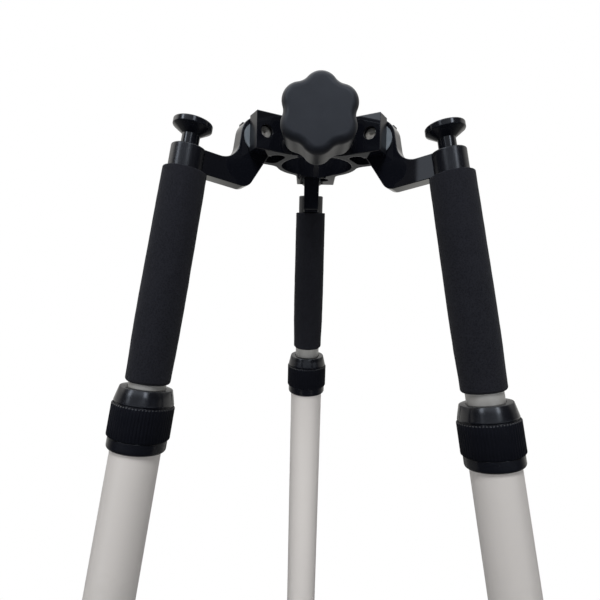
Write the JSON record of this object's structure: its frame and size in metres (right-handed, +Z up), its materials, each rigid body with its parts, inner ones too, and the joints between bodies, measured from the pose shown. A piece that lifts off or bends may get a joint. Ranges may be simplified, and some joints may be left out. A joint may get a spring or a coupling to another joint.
{
  "type": "prism pole tripod",
  "caption": "Tripod that holds a prism pole upright: clamp head with star knob, hinged telescopic legs with thumb release, foam grips and twist locks.",
  "frame": {"origin": "on the pole axis, at half the height of the clamp head", "axes": "+Z up along the pole, -Y towards the clamp knob, +X to the right seen from the knob"},
  "size_m": [0.4883, 0.4243, 1.1063],
  "materials": {
    "black_anodised": "black anodised, satin",
    "knob_plastic": "moulded, fine matt grain",
    "bright_steel": "zinc plated",
    "pale_nylon": "moulded nylon",
    "grey_anodised": "natural anodised",
    "foam": "closed-cell foam",
    "white_paint": "white powder coat on aluminium"
  },
  "bodies": {
    "head": {"head_body": "black_anodised", "pivot_bolts": "bright_steel", "pivot_washers": "pale_nylon"},
    "clamp_shoe": {"clamp_shoe": "bright_steel"},
    "clamp_knob": {"clamp_knob": "knob_plastic", "clamp_screw": "bright_steel"},
    "left_upper_leg": {"left_hinge_arm": "black_anodised", "left_upper_tube": "grey_anodised", "left_foam_grip": "foam", "left_spring_seat": "grey_anodised", "left_return_spring": "bright_steel", "left_brake_plug": "grey_anodised", "left_brake_shoes": "pale_nylon"},
    "left_release": {"left_release_button": "black_anodised", "left_release_rod": "grey_anodised", "left_brake_cone": "grey_anodised"},
    "left_lower_leg": {"left_lower_tube": "white_paint", "left_lock_sleeve": "black_anodised", "left_lock_collet": "pale_nylon", "left_foot_ferrule": "black_anodised", "left_foot_point": "bright_steel"},
    "left_nut": {"left_lock_nut": "black_anodised"},
    "right_upper_leg": {"right_hinge_arm": "black_anodised", "right_upper_tube": "grey_anodised", "right_foam_grip": "foam", "right_spring_seat": "grey_anodised", "right_return_spring": "bright_steel", "right_brake_plug": "grey_anodised", "right_brake_shoes": "pale_nylon"},
    "right_release": {"right_release_button": "black_anodised", "right_release_rod": "grey_anodised", "right_brake_cone": "grey_anodised"},
    "right_lower_leg": {"right_lower_tube": "white_paint", "right_lock_sleeve": "black_anodised", "right_lock_collet": "pale_nylon", "right_foot_ferrule": "black_anodised", "right_foot_point": "bright_steel"},
    "right_nut": {"right_lock_nut": "black_anodised"},
    "rear_upper_leg": {"rear_hinge_arm": "black_anodised", "rear_upper_tube": "grey_anodised", "rear_foam_grip": "foam", "rear_spring_seat": "grey_anodised", "rear_return_spring": "bright_steel", "rear_brake_plug": "grey_anodised", "rear_brake_shoes": "pale_nylon"},
    "rear_release": {"rear_release_button": "black_anodised", "rear_release_rod": "grey_anodised", "rear_brake_cone": "grey_anodised"},
    "rear_lower_leg": {"rear_lower_tube": "white_paint", "rear_lock_sleeve": "black_anodised", "rear_lock_collet": "pale_nylon", "rear_foot_ferrule": "black_anodised", "rear_foot_point": "bright_steel"},
    "rear_nut": {"rear_lock_nut": "black_anodised"}
  },
  "joints": [
    {"name": "clamp_travel", "type": "slide", "parent": "head", "child": "clamp_shoe", "axis": [0, 1, 0], "range_m": [-0.0105, 0.00962]},
    {"name": "knob_turn", "type": "hinge", "parent": "clamp_shoe", "child": "clamp_knob", "pos_m": [0, -0.061, 0], "axis": [0, 1, 0], "range_deg": [-2160, 1980]},
    {"name": "left_splay", "type": "hinge", "parent": "head", "child": "left_upper_leg", "pos_m": [-0.0433, -0.04, 0], "axis": [-0.5, 0.866, 0], "range_deg": [-11.7, 26.3]},
    {"name": "left_release_press", "type": "slide", "parent": "left_upper_leg", "child": "left_release", "axis": [-0.131, -0.0756, -0.9885], "range_m": [0, 0.0075], "stiffness_N_per_m": 800, "springref_m": -0.006, "deforming": ["left_return_spring"]},
    {"name": "left_extend", "type": "slide", "parent": "left_upper_leg", "child": "left_lower_leg", "axis": [-0.131, -0.0756, -0.9885], "range_m": [-0.002, 0.6]},
    {"name": "left_lock_turn", "type": "hinge", "parent": "left_lower_leg", "child": "left_nut", "pos_m": [-0.11012, -0.07482, -0.19081], "axis": [0.131, 0.0756, 0.9885], "range_deg": [0, 90]},
    {"name": "right_splay", "type": "hinge", "parent": "head", "child": "right_upper_leg", "pos_m": [0.0433, -0.04, 0], "axis": [-0.5, -0.866, 0], "range_deg": [-12.7, 25.3]},
    {"name": "right_release_press", "type": "slide", "parent": "right_upper_leg", "child": "right_release", "axis": [0.1459, -0.0842, -0.9857], "range_m": [0, 0.0075], "stiffness_N_per_m": 800, "springref_m": -0.006, "deforming": ["right_return_spring"]},
    {"name": "right_extend", "type": "slide", "parent": "right_upper_leg", "child": "right_lower_leg", "axis": [0.1459, -0.0842, -0.9857], "range_m": [-0.0068, 0.5952]},
    {"name": "right_lock_turn", "type": "hinge", "parent": "right_lower_leg", "child": "right_nut", "pos_m": [0.11369, -0.07689, -0.1942], "axis": [-0.1459, 0.0842, 0.9857], "range_deg": [0, 90]},
    {"name": "rear_splay", "type": "hinge", "parent": "head", "child": "rear_upper_leg", "pos_m": [0, 0.035, 0], "axis": [1, 0, 0], "range_deg": [-12.1, 25.9]},
    {"name": "rear_release_press", "type": "slide", "parent": "rear_upper_leg", "child": "rear_release", "axis": [0, 0.1582, -0.9874], "range_m": [0, 0.0075], "stiffness_N_per_m": 800, "springref_m": -0.006, "deforming": ["rear_return_spring"]},
    {"name": "rear_extend", "type": "slide", "parent": "rear_upper_leg", "child": "rear_lower_leg", "axis": [0, 0.1582, -0.9874], "range_m": [-0.0034, 0.5986]},
    {"name": "rear_lock_turn", "type": "hinge", "parent": "rear_lower_leg", "child": "rear_nut", "pos_m": [-0.00325, 0.11183, -0.19166], "axis": [0, -0.1582, 0.9874], "range_deg": [0, 90]}
  ],
  "couplings": [
    {"joint": "clamp_travel", "follows": "knob_turn", "m_per_rad": 0.00027852}
  ]
}
